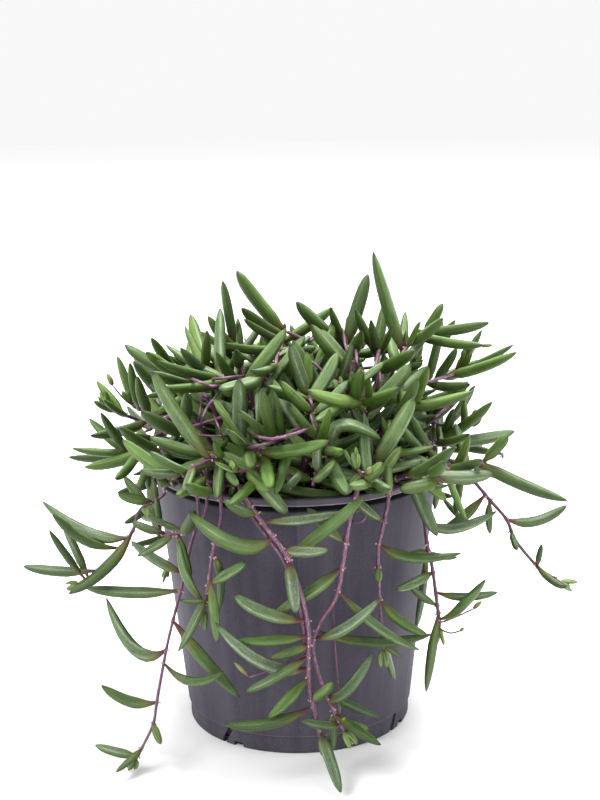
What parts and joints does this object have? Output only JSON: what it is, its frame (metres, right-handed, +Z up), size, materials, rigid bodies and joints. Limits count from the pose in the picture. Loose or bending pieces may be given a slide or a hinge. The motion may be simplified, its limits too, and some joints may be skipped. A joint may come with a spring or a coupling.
{
  "type": "potted trailing succulent",
  "caption": "Mound of leafy stems with finger-shaped leaves, some trailing over the rim of a round tapered nursery pot filled with soil.",
  "frame": {"origin": "middle of the pot's flat base", "axes": "+Z up along the pot's axis, -Y towards the viewer of the picture, +X to that viewer's right"},
  "size_m": [0.2227, 0.1924, 0.1979],
  "materials": {
    "pot_plastic": "satin",
    "soil": null,
    "foliage": null
  },
  "bodies": {
    "root": {"pot": "pot_plastic", "soil": "soil", "stem_back_left": "foliage", "stem_crown": "foliage", "stem_crown_right": "foliage", "stem_far_left": "foliage", "stem_front_low": "foliage", "stem_front_rim": "foliage", "stem_front_tuft": "foliage", "stem_hang_01": "foliage", "stem_hang_02": "foliage", "stem_hang_03": "foliage", "stem_hang_04": "foliage", "stem_hang_05": "foliage", "stem_hang_06": "foliage", "stem_hang_07": "foliage", "stem_high_01": "foliage", "stem_high_02": "foliage", "stem_high_03": "foliage", "stem_high_04": "foliage", "stem_high_05": "foliage", "stem_high_06": "foliage", "stem_left_bud": "foliage", "stem_left_crown": "foliage", "stem_left_edge": "foliage", "stem_left_front": "foliage", "stem_left_shoulder": "foliage", "stem_low_01": "foliage", "stem_low_02": "foliage", "stem_low_03": "foliage", "stem_low_04": "foliage", "stem_low_05": "foliage", "stem_low_06": "foliage", "stem_low_07": "foliage", "stem_low_08": "foliage", "stem_low_09": "foliage", "stem_low_10": "foliage", "stem_middle_left": "foliage", "stem_middle_tuft": "foliage", "stem_peak": "foliage", "stem_right_crown": "foliage", "stem_right_edge": "foliage", "stem_right_front": "foliage", "stem_right_rim": "foliage", "stem_right_shoulder": "foliage", "stem_right_side": "foliage", "stem_right_tall": "foliage", "stem_top_left": "foliage", "stem_top_middle": "foliage", "stem_top_right": "foliage", "stem_trail_far_left": "foliage", "stem_trail_far_right": "foliage", "stem_trail_front": "foliage", "stem_trail_front_right": "foliage", "stem_trail_inner_left": "foliage", "stem_trail_left": "foliage", "stem_trail_near_left": "foliage", "stem_trail_right": "foliage", "stem_trail_side": "foliage"}
  },
  "joints": []
}
